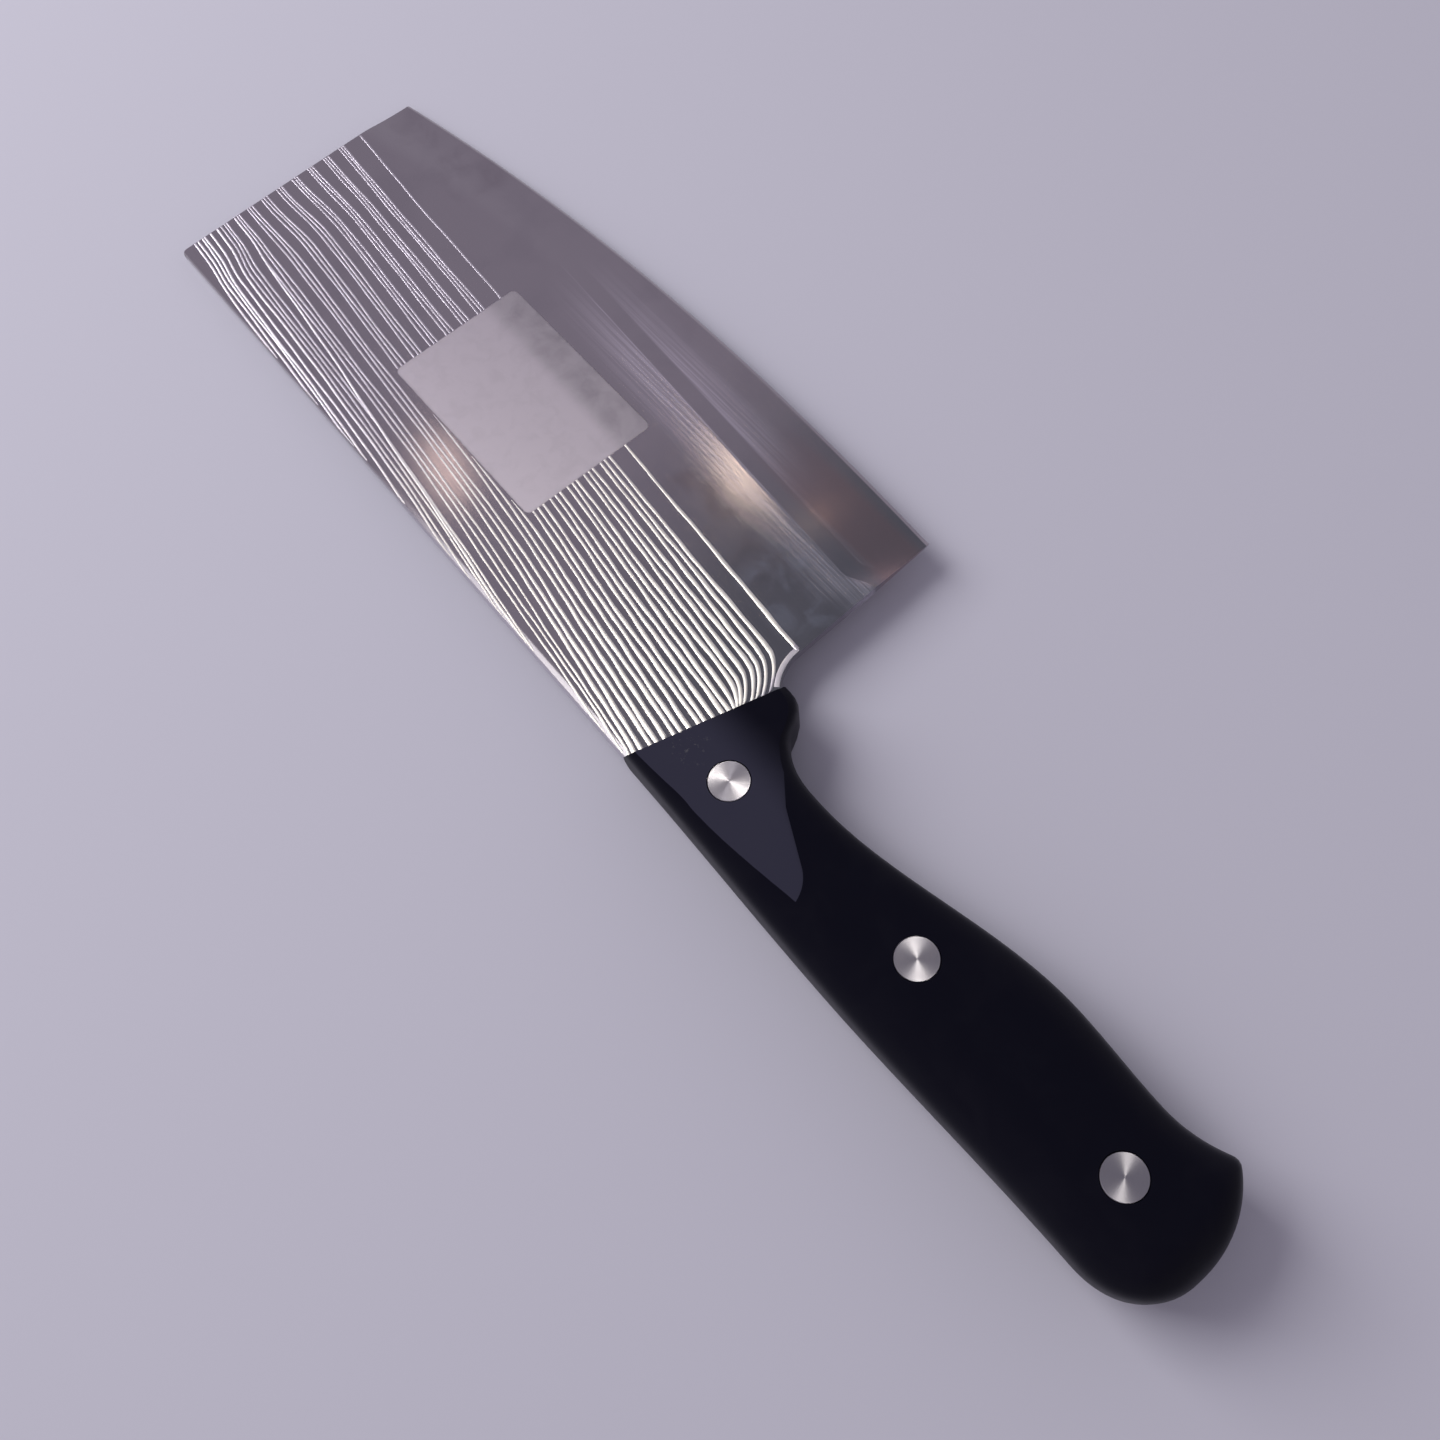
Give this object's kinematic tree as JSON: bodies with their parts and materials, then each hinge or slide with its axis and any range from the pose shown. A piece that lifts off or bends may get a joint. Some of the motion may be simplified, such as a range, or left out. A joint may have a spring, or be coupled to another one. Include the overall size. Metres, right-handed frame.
{
  "type": "cleaver",
  "caption": "Broad kitchen cleaver: hollow-ground steel blade with a full tang inside a contoured black handle of two riveted scales.",
  "frame": {"origin": "middle of the knife's box, on the plane under the handle's lowest side, with the knife lying on its left side", "axes": "+X from the tip of the blade to the butt of the handle, +Y from the spine to the cutting edge, +Z through the thickness to the right side of the blade"},
  "size_m": [0.3014, 0.0774, 0.0186],
  "materials": {
    "blade_steel": "satin, brushed along the blade",
    "handle_plastic": "fine satin",
    "rivet_metal": "turned faces"
  },
  "bodies": {
    "root": {"blade": "blade_steel", "scale_right": "handle_plastic", "scale_left": "handle_plastic", "rivet_front_male": "rivet_metal", "rivet_front_female": "rivet_metal", "rivet_middle_male": "rivet_metal", "rivet_middle_female": "rivet_metal", "rivet_rear_male": "rivet_metal", "rivet_rear_female": "rivet_metal"}
  },
  "joints": []
}
